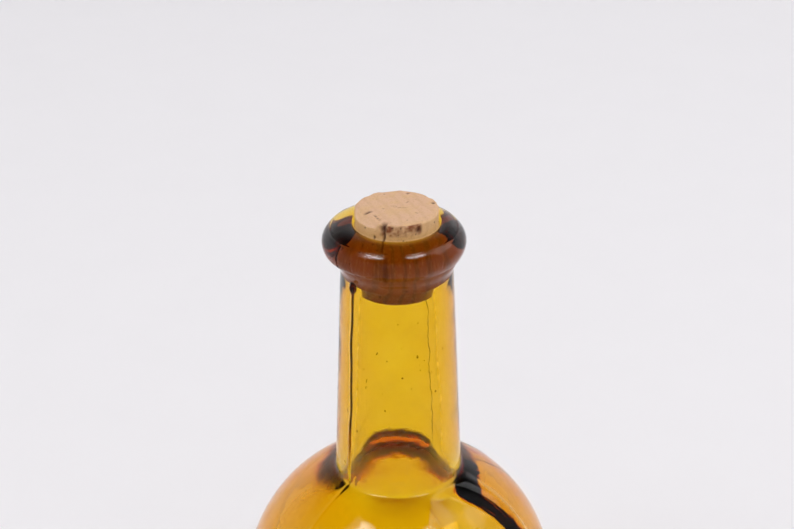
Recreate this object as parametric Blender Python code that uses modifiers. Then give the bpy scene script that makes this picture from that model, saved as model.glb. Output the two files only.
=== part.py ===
"""Amber mould-blown glass bottle with a tapered cork, in metres, +Z up, standing on z = 0."""

import math

import bmesh
import bpy
from mathutils import Vector

# Body: a ball of glass cut flat where it stands
BODY_RADIUS = 0.0415
BODY_CENTRE_HEIGHT = 0.032
BODY_WALL = 0.0055
HEEL_RADIUS = 0.006
HEEL_INNER_RADIUS = 0.009
FLOOR_WALL = 0.005
PUSH_UP_RADIUS = 0.0195
PUSH_UP_RISE = 0.004

# Neck: outer radii at its top and foot, bore radius at its foot
NECK_TOP_DROP = 0.0076
NECK_TOP_RADIUS = 0.0142
NECK_FOOT_RADIUS = 0.0164
NECK_FOOT_HEIGHT = 0.0715
NECK_FOOT_BORE_RADIUS = 0.0115
SHOULDER_FILLET = 0.0025
SHOULDER_INNER_FILLET = 0.024

# Lip: a rolled ring, domed on top up to the mouth, over a short collar
LIP_HEIGHT = 0.135
LIP_RADIUS = 0.018
LIP_DOME_WIDTH = 0.0062
LIP_ROLL_WIDTH = 0.00295
LIP_RISE = 0.0048
LIP_DROP = 0.0038
LIP_CREASE_DEGREES = 81
MOUTH_ROUNDING = 0.0008
COLLAR_DROP = 0.0042
COLLAR_PROUD = 0.0011

# Medallion: a round sunken panel with a low rim, at the front, sunk deepest near the neck
PANEL_RADIUS_SHARE = 0.682
PANEL_RISE_SHARE = 0.265
PANEL_DEPTH = 0.0017
PANEL_SET_BACK = 0.0009
PANEL_SET_DOWN = 0.0014
RIM_OFFSET = 0.0009
RIM_THICKNESS = 0.0014
RIM_PROUD = 0.00035

# Cork: a tapered plug, pushed into the mouth
CORK_TOP_RADIUS = 0.0106
CORK_FOOT_RADIUS = 0.0093
CORK_STANDS_PROUD = 0.004
CORK_LENGTH = 0.0218
CORK_CHAMFER = 0.0009
CORK_CLEARANCE = 0.0003

# How finely round shapes are drawn
TURNS = 56
BODY_STEPS = 13
ROUNDING_STEPS = 4
DOME_STEPS = 6
RIM_STEPS = 44
MERGE_DISTANCE = 0.00001
CUTTER_OVERRUN = 0.004

CREST_HEIGHT = LIP_HEIGHT + LIP_RISE
PANEL_RADIUS = BODY_RADIUS * PANEL_RADIUS_SHARE
PANEL_RISE = BODY_RADIUS * PANEL_RISE_SHARE
PANEL_FLOOR_RADIUS = BODY_RADIUS - PANEL_DEPTH + PANEL_SET_BACK
RIM_RADIUS = PANEL_RADIUS + RIM_OFFSET
CORK_TOP_HEIGHT = CREST_HEIGHT + CORK_STANDS_PROUD
CORK_FOOT_HEIGHT = CORK_TOP_HEIGHT - CORK_LENGTH
BODY_CENTRE = Vector((0, BODY_CENTRE_HEIGHT))


def clear_scene():
    for old in list(bpy.data.objects):
        bpy.data.objects.remove(old, do_unlink=True)


def new_collection(name):
    collection = bpy.data.collections.new(name)
    bpy.context.scene.collection.children.link(collection)
    return collection


def new_material(name, colour, roughness, transmission, ior):
    material = bpy.data.materials.new(name)
    material.use_nodes = True
    shader = material.node_tree.nodes["Principled BSDF"]
    shader.inputs["Base Color"].default_value = colour
    shader.inputs["Roughness"].default_value = roughness
    shader.inputs["Metallic"].default_value = 0
    shader.inputs["Transmission Weight"].default_value = transmission
    shader.inputs["IOR"].default_value = ior
    return material


def arc(centre, radii, start, end, steps):
    """Points on an upright ellipse in the profile plane, from one angle to another in degrees."""
    points = []
    for i in range(steps + 1):
        angle = math.radians(start + (end - start) * i / steps)
        points.append((centre[0] + radii[0] * math.cos(angle), centre[1] + radii[1] * math.sin(angle)))
    return points


def angle_from(centre, point):
    return math.degrees(math.atan2(point[1] - centre[1], point[0] - centre[0]))


def neck_and_body(neck_top, neck_foot, fillet, ball_radius, floor_height, heel):
    """A neck that flares into a ball with a flat floor, as profile points from the neck's top downwards."""
    top, foot = Vector(neck_top), Vector(neck_foot)
    down = (foot - top).normalized()
    outward = Vector((-down.y, down.x))
    # The shoulder fillet touches the neck's side and the ball from outside
    start = foot + outward * fillet
    along = (BODY_CENTRE - start).dot(down)
    aside = (BODY_CENTRE - start - down * along).length
    reach = ball_radius + fillet
    shoulder = start + down * (along - math.sqrt(reach**2 - aside**2))
    neck_end = shoulder - outward * fillet
    # The heel touches the ball and the floor from inside
    heel_height = floor_height + heel
    heel_reach = ball_radius - heel
    heel_side = math.sqrt(heel_reach**2 - (BODY_CENTRE_HEIGHT - heel_height) ** 2)
    heel_centre = Vector((heel_side, heel_height))
    shoulder_angle = angle_from(BODY_CENTRE, shoulder)
    heel_angle = angle_from(BODY_CENTRE, heel_centre)
    neck_angle = angle_from(shoulder, neck_end) % 360
    points = [tuple(top)]
    points += arc(shoulder, (fillet, fillet), neck_angle, shoulder_angle + 180, ROUNDING_STEPS)
    points += arc(BODY_CENTRE, (ball_radius, ball_radius), shoulder_angle, heel_angle, BODY_STEPS)[1:-1]
    points += arc(heel_centre, (heel, heel), heel_angle, -90, ROUNDING_STEPS)
    return points


def push_up(floor_height):
    """The domed middle of the floor, from its edge to the axis."""
    radius = (PUSH_UP_RADIUS**2 + PUSH_UP_RISE**2) / (2 * PUSH_UP_RISE)
    centre = (0, floor_height + PUSH_UP_RISE - radius)
    edge = angle_from(centre, (PUSH_UP_RADIUS, floor_height))
    return arc(centre, (radius, radius), edge, 90, ROUNDING_STEPS)


def cork_radius_at(height):
    share = (height - CORK_FOOT_HEIGHT) / CORK_LENGTH
    return CORK_FOOT_RADIUS + (CORK_TOP_RADIUS - CORK_FOOT_RADIUS) * share


def mouth_points():
    """The bore's mouth, over the domed top of the lip, round its ring and down to the collar's foot."""
    mouth_radius = cork_radius_at(CREST_HEIGHT) + CORK_CLEARANCE
    edge_centre = (mouth_radius + MOUTH_ROUNDING, CREST_HEIGHT - MOUTH_ROUNDING)
    dome_centre = (LIP_RADIUS - LIP_DOME_WIDTH, LIP_HEIGHT)
    ring_centre = (LIP_RADIUS - LIP_ROLL_WIDTH, LIP_HEIGHT)
    collar_radius = NECK_TOP_RADIUS + COLLAR_PROUD
    points = arc(edge_centre, (MOUTH_ROUNDING, MOUTH_ROUNDING), 180, 90, ROUNDING_STEPS)
    points += arc(dome_centre, (LIP_DOME_WIDTH, LIP_RISE), 90, 0, DOME_STEPS)
    points += arc(ring_centre, (LIP_ROLL_WIDTH, LIP_DROP), 0, -LIP_CREASE_DEGREES, ROUNDING_STEPS)[1:]
    points.append((collar_radius, LIP_HEIGHT - COLLAR_DROP))
    return points


def bottle_profile():
    seat_radius = CORK_FOOT_RADIUS + CORK_CLEARANCE
    outside = neck_and_body(
        (NECK_TOP_RADIUS, LIP_HEIGHT - NECK_TOP_DROP),
        (NECK_FOOT_RADIUS, NECK_FOOT_HEIGHT),
        SHOULDER_FILLET,
        BODY_RADIUS,
        0,
        HEEL_RADIUS,
    )
    inside = neck_and_body(
        (seat_radius, CORK_FOOT_HEIGHT),
        (NECK_FOOT_BORE_RADIUS, NECK_FOOT_HEIGHT),
        SHOULDER_INNER_FILLET,
        BODY_RADIUS - BODY_WALL,
        FLOOR_WALL,
        HEEL_INNER_RADIUS,
    )
    inside += push_up(FLOOR_WALL)
    return inside[::-1] + mouth_points() + outside + push_up(0)


def cork_profile():
    low, high = CORK_FOOT_HEIGHT, CORK_TOP_HEIGHT
    top_edge, foot_edge = high - CORK_CHAMFER, low + CORK_CHAMFER
    return [
        (0, high),
        (CORK_TOP_RADIUS - CORK_CHAMFER, high),
        (cork_radius_at(top_edge), top_edge),
        (cork_radius_at(foot_edge), foot_edge),
        (CORK_FOOT_RADIUS - CORK_CHAMFER, low),
        (0, low),
    ]


def turned(name, profile, collection):
    """A profile in the XZ plane turned about Z."""
    mesh = bpy.data.meshes.new(name)
    mesh.from_pydata([(r, 0, z) for r, z in profile], [(i, i + 1) for i in range(len(profile) - 1)], [])
    piece = bpy.data.objects.new(name, mesh)
    collection.objects.link(piece)
    screw = piece.modifiers.new("Turn", "SCREW")
    screw.axis = "Z"
    screw.steps = TURNS
    screw.render_steps = TURNS
    screw.use_smooth_shade = True
    screw.use_merge_vertices = True
    screw.merge_threshold = MERGE_DISTANCE
    return piece


def boolean(piece, other, operation):
    modifier = piece.modifiers.new(other.name, "BOOLEAN")
    modifier.operation = operation
    modifier.solver = "EXACT"
    modifier.object = other


def as_cutter(piece):
    piece.hide_render = True
    piece.display_type = "WIRE"
    return piece


def active_primitive(name, collection):
    """Renames the primitive that was just added and moves it to a collection."""
    piece = bpy.context.active_object
    piece.name = name
    for old in list(piece.users_collection):
        old.objects.unlink(piece)
    collection.objects.link(piece)
    return piece


def panel_cutter(cutters):
    """What is cut away for the medallion: a round plug, less a ball set back and down, and the neck."""
    length = BODY_RADIUS + CUTTER_OVERRUN
    bpy.ops.mesh.primitive_cylinder_add(
        vertices=TURNS,
        radius=PANEL_RADIUS,
        depth=length,
        location=(0, -length / 2, BODY_CENTRE_HEIGHT + PANEL_RISE),
        rotation=(math.radians(90), 0, 0),
    )
    plug = as_cutter(active_primitive("panel_plug", cutters))
    bpy.ops.mesh.primitive_uv_sphere_add(
        segments=TURNS,
        ring_count=TURNS // 2,
        radius=PANEL_FLOOR_RADIUS,
        location=(0, PANEL_SET_BACK, BODY_CENTRE_HEIGHT - PANEL_SET_DOWN),
    )
    floor = as_cutter(active_primitive("panel_floor", cutters))
    guard_radius = NECK_FOOT_RADIUS + SHOULDER_FILLET / 2
    guard_height = BODY_RADIUS + CUTTER_OVERRUN
    bpy.ops.mesh.primitive_cylinder_add(
        vertices=TURNS,
        radius=guard_radius,
        depth=guard_height,
        location=(0, 0, BODY_CENTRE_HEIGHT + PANEL_RISE + guard_height / 2),
    )
    guard = as_cutter(active_primitive("neck_guard", cutters))
    boolean(plug, floor, "DIFFERENCE")
    boolean(plug, guard, "DIFFERENCE")
    return plug


def panel_rim(cutters):
    """The medallion's raised rim: a bent rod half sunk in the ball, with its ends in the neck's wall."""
    depth = RIM_THICKNESS / 2
    track = BODY_RADIUS + RIM_PROUD - depth
    wall_middle = (NECK_FOOT_RADIUS + NECK_FOOT_BORE_RADIUS) / 2
    top = math.sqrt(track**2 - wall_middle**2)
    end = math.asin((top - PANEL_RISE) / RIM_RADIUS)
    curve = bpy.data.curves.new("panel_rim", "CURVE")
    curve.dimensions = "3D"
    curve.bevel_depth = depth
    curve.bevel_resolution = 1
    curve.use_fill_caps = True
    spline = curve.splines.new("POLY")
    spline.points.add(RIM_STEPS)
    for i in range(RIM_STEPS + 1):
        angle = end - (2 * end + math.pi) * i / RIM_STEPS
        across = RIM_RADIUS * math.cos(angle)
        up = PANEL_RISE + RIM_RADIUS * math.sin(angle)
        out = math.sqrt(track**2 - across**2 - up**2)
        spline.points[i].co = (across, -out, BODY_CENTRE_HEIGHT + up, 1)
    bent = bpy.data.objects.new("panel_rim_curve", curve)
    cutters.objects.link(bent)
    return as_cutter(mesh_from(bent, "panel_rim", cutters))


def mesh_from(bent, name, collection):
    """A closed mesh in place of a curve."""
    graph = bpy.context.evaluated_depsgraph_get()
    mesh = bpy.data.meshes.new_from_object(bent.evaluated_get(graph))
    shape = bmesh.new()
    shape.from_mesh(mesh)
    bmesh.ops.remove_doubles(shape, verts=shape.verts, dist=MERGE_DISTANCE)
    bmesh.ops.recalc_face_normals(shape, faces=shape.faces)
    shape.to_mesh(mesh)
    shape.free()
    piece = bpy.data.objects.new(name, mesh)
    piece.matrix_world = bent.matrix_world.copy()
    collection.objects.link(piece)
    bpy.data.objects.remove(bent, do_unlink=True)
    return piece


def make_bottle(parts, cutters):
    bottle = turned("glass_bottle", bottle_profile(), parts)
    boolean(bottle, panel_cutter(cutters), "DIFFERENCE")
    boolean(bottle, panel_rim(cutters), "UNION")
    bottle.data.materials.append(new_material("amber_glass", (0.55, 0.27, 0.03, 1), 0.03, 1, 1.52))
    return bottle


def make_cork(parts):
    cork = turned("cork_stopper", cork_profile(), parts)
    cork.data.materials.append(new_material("cork", (0.62, 0.41, 0.24, 1), 0.85, 0, 1.45))
    return cork


def main():
    clear_scene()
    parts = new_collection("glass_bottle_with_cork")
    cutters = new_collection("cutters")
    make_bottle(parts, cutters)
    make_cork(parts)


main()
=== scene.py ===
"""A corked bottle of amber moulded glass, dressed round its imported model, in metres, +Z up."""

import math
import random

import bpy
import numpy as np
from mathutils import Matrix, Vector, noise


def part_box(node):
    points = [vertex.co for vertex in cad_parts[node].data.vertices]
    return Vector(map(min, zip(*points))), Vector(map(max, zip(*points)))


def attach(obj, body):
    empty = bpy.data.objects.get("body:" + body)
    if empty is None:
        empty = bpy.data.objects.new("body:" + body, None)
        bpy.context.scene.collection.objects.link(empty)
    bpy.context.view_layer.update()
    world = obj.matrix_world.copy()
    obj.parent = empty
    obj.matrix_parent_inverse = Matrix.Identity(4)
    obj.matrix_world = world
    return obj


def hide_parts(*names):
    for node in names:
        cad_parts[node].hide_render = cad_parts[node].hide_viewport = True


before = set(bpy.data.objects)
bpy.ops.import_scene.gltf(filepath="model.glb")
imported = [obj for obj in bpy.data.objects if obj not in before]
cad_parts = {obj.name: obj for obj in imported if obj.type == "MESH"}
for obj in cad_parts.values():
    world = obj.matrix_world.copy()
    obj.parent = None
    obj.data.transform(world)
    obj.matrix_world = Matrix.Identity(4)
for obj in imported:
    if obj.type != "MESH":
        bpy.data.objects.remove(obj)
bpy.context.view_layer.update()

bl_info = {
    "name": "Corked Amber Bottle",
    "version": (1, 0, 0),
    "blender": (4, 5, 0),
    "location": "View3D > Sidebar > Bottle",
    "description": "Makes a moulded amber glass bottle with a tapered cork and a plain studio",
    "category": "Add Mesh",
}

MM = 0.001
BOTTLE_LOW, BOTTLE_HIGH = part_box("glass_bottle")
CORK_LOW, CORK_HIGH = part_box("cork_stopper")

# The photograph's frame and the row of its lip's ring, in pixels, and the camera that was fitted to them
IMAGE_WIDTH = 794
IMAGE_MIDDLE_ROW = 264.5
LIP_RING_ROW = 239.5
FOCAL_LENGTH_PIXELS = 1958
SENSOR_WIDTH_MM = 36
CAMERA_DISTANCE = 486.1 * MM
CAMERA_ELEVATION = math.radians(26)
CAMERA_ROLL = math.radians(-0.42)
CAMERA_CLIP_START = 10 * MM


class BottleSizes(bpy.types.PropertyGroup):
    """The bottle's sizes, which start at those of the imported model."""

    body_radius: bpy.props.FloatProperty(
        name="Body Radius",
        description="Radius of the ball that the body is blown to",
        default=BOTTLE_HIGH.x,
        unit="LENGTH",
    )
    body_centre_height: bpy.props.FloatProperty(
        name="Body Centre Height",
        description="Height of the ball's centre above the table",
        default=32 * MM,
        unit="LENGTH",
    )
    body_wall: bpy.props.FloatProperty(
        name="Body Wall", description="Thickness of the body's wall", default=6 * MM, unit="LENGTH"
    )
    neck_top_radius: bpy.props.FloatProperty(
        name="Neck Top Radius",
        description="Outer radius of the neck under the collar",
        default=14.2 * MM,
        unit="LENGTH",
    )
    neck_foot_radius: bpy.props.FloatProperty(
        name="Neck Foot Radius",
        description="Outer radius of the neck above the shoulder",
        default=16.4 * MM,
        unit="LENGTH",
    )
    neck_foot_bore: bpy.props.FloatProperty(
        name="Neck Foot Bore",
        description="Bore radius above the shoulder",
        default=11.5 * MM,
        unit="LENGTH",
    )
    lip_radius: bpy.props.FloatProperty(
        name="Lip Radius", description="Radius of the rolled lip", default=18 * MM, unit="LENGTH"
    )
    lip_rise: bpy.props.FloatProperty(
        name="Lip Rise",
        description="How far the lip's crest stands above its widest ring",
        default=4.8 * MM,
        unit="LENGTH",
    )
    panel_radius: bpy.props.FloatProperty(
        name="Medallion Radius",
        description="Radius of the sunken panel",
        default=28.3 * MM,
        unit="LENGTH",
    )
    panel_depth: bpy.props.FloatProperty(
        name="Medallion Depth",
        description="How deep the panel is sunk at the middle of the front",
        default=1.7 * MM,
        unit="LENGTH",
    )


class BottleFinish(bpy.types.PropertyGroup):
    """The glass's tint: how much of each colour one centimetre of it lets through."""

    clear_red: bpy.props.FloatProperty(
        name="Red", description="Share of red that 1 cm lets through", default=0.92, subtype="FACTOR"
    )
    clear_green: bpy.props.FloatProperty(
        name="Green",
        description="Share of green that 1 cm lets through",
        default=0.595,
        subtype="FACTOR",
    )
    clear_blue: bpy.props.FloatProperty(
        name="Blue", description="Share of blue that 1 cm lets through", default=0.006, subtype="FACTOR"
    )
    ior: bpy.props.FloatProperty(
        name="IOR", description="Refractive index of soda-lime glass", default=1.52
    )


class CorkFinish(bpy.types.PropertyGroup):
    """The cork's colours."""

    cut: bpy.props.StringProperty(
        name="Cut Top", description="Colour of the sawn top, seen across the grain", default="#DAB190"
    )
    side: bpy.props.StringProperty(
        name="Side", description="Colour of the turned side", default="#D9B183"
    )
    growth: bpy.props.StringProperty(
        name="Growth Lines", description="Colour of the darker growth lines", default="#BE9068"
    )
    pit: bpy.props.StringProperty(
        name="Pits", description="Colour inside pits and cracks", default="#4A2417"
    )
    stain: bpy.props.StringProperty(
        name="Stain", description="Colour of the damp stain on the side", default="#7E4526"
    )
    # This colour is painted shade: the cork's side within the neck is darkened for the little light that
    # reaches it there
    darker_tone: bpy.props.StringProperty(
        name="Damp", description="Colour of the damp side within the neck", default="#7A381C"
    )


class StudioSettings(bpy.types.PropertyGroup):
    """The plain studio."""

    background: bpy.props.StringProperty(
        name="Background", description="Colour of the pale surround", default="#EEECEF"
    )
    paper: bpy.props.StringProperty(
        name="Paper", description="Colour of the paper that the bottle stands on", default="#F5F3F6"
    )
    softbox_radiance: bpy.props.FloatProperty(
        name="Softboxes", description="Brightness of the two softboxes, where 1 is white", default=2.7
    )
    glint_radiance: bpy.props.FloatProperty(
        name="Glints",
        description="Brightness of the softboxes' middles as the glass mirrors them",
        default=24,
    )
    ceiling: bpy.props.FloatProperty(
        name="Ceiling", description="Brightness of the dark room overhead", default=0.05
    )
    fill: bpy.props.FloatProperty(
        name="Fill", description="Light from overhead that the glass doesn't mirror", default=0.93
    )
    camera_azimuth: bpy.props.FloatProperty(
        name="Camera Azimuth",
        description="Where the camera stands, from the front medallion",
        default=math.radians(-22),
        subtype="ANGLE",
    )


def srgb(code):
    """A colour written as a hex code, as linear values."""
    channels = [int(code[i : i + 2], 16) / 255 for i in (1, 3, 5)]
    linear = [c / 12.92 if c <= 0.04045 else ((c + 0.055) / 1.055) ** 2.4 for c in channels]
    return (*linear, 1)


def add_node(tree, kind, settings=None, inputs=None):
    """A node with its settings, its values and the sockets that feed it."""
    node = tree.nodes.new(kind)
    for name, value in (settings or {}).items():
        setattr(node, name, value)
    for name, value in (inputs or {}).items():
        if isinstance(value, bpy.types.NodeSocket):
            tree.links.new(value, node.inputs[name])
        else:
            node.inputs[name].default_value = value
    return node


def new_material(name):
    """An empty node material and its output."""
    material = bpy.data.materials.new(name)
    material.use_nodes = True
    material.node_tree.nodes.clear()
    return material, material.node_tree, add_node(material.node_tree, "ShaderNodeOutputMaterial")


# Shapes


def smooth(share):
    share = np.clip(share, 0, 1)
    return share * share * (3 - 2 * share)


def share_between(value, ends):
    """How far a value has come from one end to the other, eased at both."""
    return smooth((value - ends[0]) / (ends[1] - ends[0]))


def bump(offset):
    """A rounded ridge: 1 in the middle, 0 from an offset of 1 on either side."""
    offset = np.clip(np.abs(offset), 0, 1)
    return (1 - offset * offset) ** 2


def from_axis(points):
    return np.hypot(points[:, 0], points[:, 1])


def azimuths(points):
    """How far round the axis each point lies, in radians from the front."""
    return np.arctan2(points[:, 0], -points[:, 1])


def turned_to(turns):
    """The same turns, in radians, as the shorter way round."""
    return (turns + math.pi) % math.tau - math.pi


def arc(centre, radii, start, end, steps):
    """Points on an upright ellipse in the outline's plane, from one angle to another in degrees."""
    angles = np.radians(np.linspace(start, end, steps + 1))
    return [(centre[0] + radii[0] * math.cos(a), centre[1] + radii[1] * math.sin(a)) for a in angles]


def line(start, end, steps):
    """Points on a straight stretch of an outline, both ends among them."""
    return [
        (start[0] + (end[0] - start[0]) * i / steps, start[1] + (end[1] - start[1]) * i / steps)
        for i in range(steps + 1)
    ]


def angle_from(centre, point):
    return math.degrees(math.atan2(point[1] - centre[1], point[0] - centre[0]))


def select_none():
    if bpy.context.object is not None and bpy.context.object.mode != "OBJECT":
        bpy.ops.object.mode_set(mode="OBJECT")
    bpy.ops.object.select_all(action="DESELECT")


# Points of a spun outline nearer than this are the same point
DOUBLES_WITHIN = 0.01 * MM


def lathe(name, outline, turns):
    """An outline in the XZ plane, drawn point by point by extruding one vertex, then spun about Z."""
    select_none()
    bpy.ops.mesh.primitive_plane_add(size=MM, location=(0, 0, 0))
    piece = bpy.context.object
    piece.name = piece.data.name = name
    bpy.ops.object.mode_set(mode="EDIT")
    bpy.ops.mesh.select_mode(type="VERT")
    bpy.ops.mesh.select_all(action="SELECT")
    bpy.ops.mesh.merge(type="CENTER")
    here = Vector((0, 0, 0))
    for i, (radius, height) in enumerate(outline):
        there = Vector((radius, 0, height))
        if i == 0:
            bpy.ops.transform.translate(value=there - here)
        else:
            bpy.ops.mesh.extrude_region_move(TRANSFORM_OT_translate={"value": there - here})
        here = there
    bpy.ops.mesh.select_all(action="SELECT")
    bpy.ops.mesh.spin(steps=turns, angle=math.tau, center=(0, 0, 0), axis=(0, 0, 1))
    bpy.ops.mesh.select_all(action="SELECT")
    bpy.ops.mesh.remove_doubles(threshold=DOUBLES_WITHIN)
    bpy.ops.mesh.normals_make_consistent(inside=False)
    bpy.ops.object.mode_set(mode="OBJECT")
    return piece


def read_vectors(items, name):
    """One vector of each of a mesh's items, such as its place or its normal, as rows."""
    found = np.zeros(len(items) * 3)
    items.foreach_get(name, found)
    return found.reshape(-1, 3)


def set_coordinates(mesh, points):
    mesh.vertices.foreach_set("co", points.astype(np.float32).ravel())
    mesh.update()


def write_attribute(mesh, name, values):
    attribute = mesh.attributes.new(name, "FLOAT", "POINT")
    attribute.data.foreach_set("value", values.astype(np.float32))


def subdivide_faces(piece, chosen):
    """Cuts the chosen faces, and with them their edges, once across each way."""
    mesh = piece.data
    select_none()
    bpy.context.view_layer.objects.active = piece
    piece.select_set(True)
    bpy.ops.object.mode_set(mode="EDIT")
    bpy.ops.mesh.select_mode(type="FACE")
    bpy.ops.mesh.select_all(action="DESELECT")
    bpy.ops.object.mode_set(mode="OBJECT")
    mesh.polygons.foreach_set("select", chosen)
    bpy.ops.object.mode_set(mode="EDIT")
    bpy.ops.mesh.subdivide(number_cuts=1, quadcorner="INNERVERT")
    bpy.ops.object.mode_set(mode="OBJECT")


def waves(points, size, seed):
    """Smooth unevenness between -1 and 1, whose swells are about this far apart."""
    shift = Vector((seed * 7.3, seed * 3.1, seed * 5.7))
    return np.array([noise.noise(Vector(p) / size + shift) for p in points])


# The bottle's own sizes that a user wouldn't change
NECK_TOP_DROP = 7.6 * MM
NECK_FOOT_HEIGHT = 71.5 * MM
SHOULDER_FILLET = 1.3 * MM
SHOULDER_INNER_FILLET = 26 * MM
INNER_RISE = -1.6 * MM
HEEL_RADIUS = 6 * MM
HEEL_INNER_RADIUS = 9 * MM
FLOOR_WALL = 5 * MM
PUSH_UP_RADIUS = 19.5 * MM
PUSH_UP_RISE = 4 * MM
LIP_ROLL_WIDTH = 6.2 * MM
LIP_UNDERCUT_WIDTH = 2.95 * MM
LIP_DROP = 3.8 * MM
LIP_CREASE_DEGREES = 81
LIP_LINE_RADIUS = 16 * MM
LIP_LINE_HALF_WIDTH = 0.35 * MM
LIP_LINE_PROUD = 0.1 * MM
MOUTH_ROUNDING = 0.8 * MM
COLLAR_DROP = 4.2 * MM
COLLAR_PROUD = 1.1 * MM
CORK_CLEARANCE = 0.3 * MM
CORK_TAPER = 1.3 * MM

# The lip leans to the left, as seen from this azimuth
LIP_LEAN = 0.7 * MM
LIP_LEAN_AZIMUTH = math.radians(-22)
LIP_LEAN_START = 1 * MM
LIP_LEAN_WIDTH = 4 * MM
LIP_LEAN_HEIGHT = 2 * MM

# The shoulder is fuller behind the neck, at this azimuth from the front and this near the neck's foot
FULL_SIDE = math.radians(158)
FULL_RISE = 2.3 * MM
FULL_RADIUS = 24 * MM
FULL_RADIUS_FADE = 6 * MM
FULL_DROP = 9 * MM
FULL_DROP_FADE = 7 * MM
# Cosines of the angles from that azimuth between which the fullness comes in
FULL_TURN = (0.5, 0.9)

PANEL_RISE = 11 * MM
PANEL_SET_BACK = 0.9 * MM
PANEL_SET_DOWN = 1.4 * MM
PANEL_WALL_WIDTH = 1.7 * MM
PANEL_GUARD = 1.2 * MM
PANEL_GUARD_WIDTH = 1.2 * MM
PANEL_GUARD_MARGIN = 1 * MM
# The panel runs out into the skin towards the left of its top, between these places across and up
PANEL_RUN_OUT = (-1 * MM, 13 * MM)
PANEL_RUN_OUT_LEVELS = (-4 * MM, 14 * MM)
RIM_OFFSET = 0.9 * MM
RIM_HALF_WIDTH = 1.1 * MM
RIM_PROUD = 0.35 * MM
SEAM_AZIMUTHS = (math.radians(-73), math.radians(107))
SEAM_HALF_WIDTH = 0.75 * MM
SEAM_PROUD = 0.28 * MM
SEAM_TOP_FADE = 1 * MM
SEAM_HEEL_FADE = 2 * MM
# The seams stand out less on the body than on the neck
SEAM_BODY_SHARE = 0.3
SEAM_BODY_START = 1 * MM
SEAM_BODY_FADE = 4 * MM
# Each seam wanders to either side in long and short waves: how far, and each wave's height over tau
SEAM_WANDER = ((0.16 * MM, 5.1 * MM), (0.09 * MM, 1.9 * MM))
SEAM_DROP_BELOW_RING = 8.6 * MM
SEAM_DROP_HALF_LENGTH = 2.3 * MM
SEAM_DROP_HALF_WIDTH = 1.5 * MM
SEAM_DROP_PROUD = 0.85 * MM
EMBOSS_HALF_WIDTH = 0.42 * MM
EMBOSS_PROUD = 0.26 * MM
EMBOSS_CLEAR_OF_NECK = 2 * MM
EMBOSS_FADE = 1.5 * MM

# Ripples too fine to model blur the lip, the neck's foot and, between these heights, the shoulder's
# inside, most at the back and not behind the medallion
LIP_HAZE = 0.1
LIP_HAZE_FADE = 1 * MM
FOOT_HAZE = 0.18
FOOT_HAZE_HALF_HEIGHT = 2 * MM
SIDE_HAZE = 0.26
BACK_HAZE = 0.3
HAZE_LOW = 55 * MM
HAZE_TOP = 81 * MM
HAZE_FADE = 8 * MM
HAZE_PANEL_FADE = 4 * MM
# Sines of the azimuths from the side between which the back's haze comes in
HAZE_BACK = (0.1, 0.6)

# The skin that met the mould is nearly true, and the inside, which met only air, swells more: how far the
# outside, the body's inside and the bore swell and ripple, and how far apart. They are longer upwards.
SWELLS = (0.05 * MM, 0.28 * MM, 0.12 * MM)
RIPPLES = (0.008 * MM, 0.05 * MM, 0.012 * MM)
SWELL_SPACING = 11 * MM
RIPPLE_SPACING = 3.6 * MM
UPWARD_SQUEEZE = np.array([1, 1, 0.6])
# The body's inside is found by its distance from the ball's middle, with this to spare
INNER_MARGIN = 1 * MM
FOOT_RIPPLE = 0.03 * MM
FOOT_RIPPLE_SPACING = 1.3 * MM
FOOT_RIPPLE_HALF_HEIGHT = 3 * MM

# Each crease's azimuth from the front, lowest and highest level from the lip's ring, and depth, in mm
LIP_MARKS = ((-73, -3.6, 3.4, 0.2), (-58, -2.2, 1.6, 0.16), (21, -2.0, 0.8, 0.1))
LIP_MARK_HALF_WIDTH = 0.45 * MM
LIP_MARK_FADE = 1 * MM

# Faces round the bottle, and faces along the neck, shoulder, ball and heel of its inside and outside
BOTTLE_TURNS = 180
INSIDE_STEPS = (16, 22, 30, 5)
OUTSIDE_STEPS = (36, 8, 62, 7)
# Two rounds cut the faces near a feature finer, the first round at the medallion's rim too
FINER_ROUNDS = ((0.7 * MM, True), (0.25 * MM, False))
# A cut face's points are put back on the true skin from this near
SETTLE_WITHIN = 0.2 * MM


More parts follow.
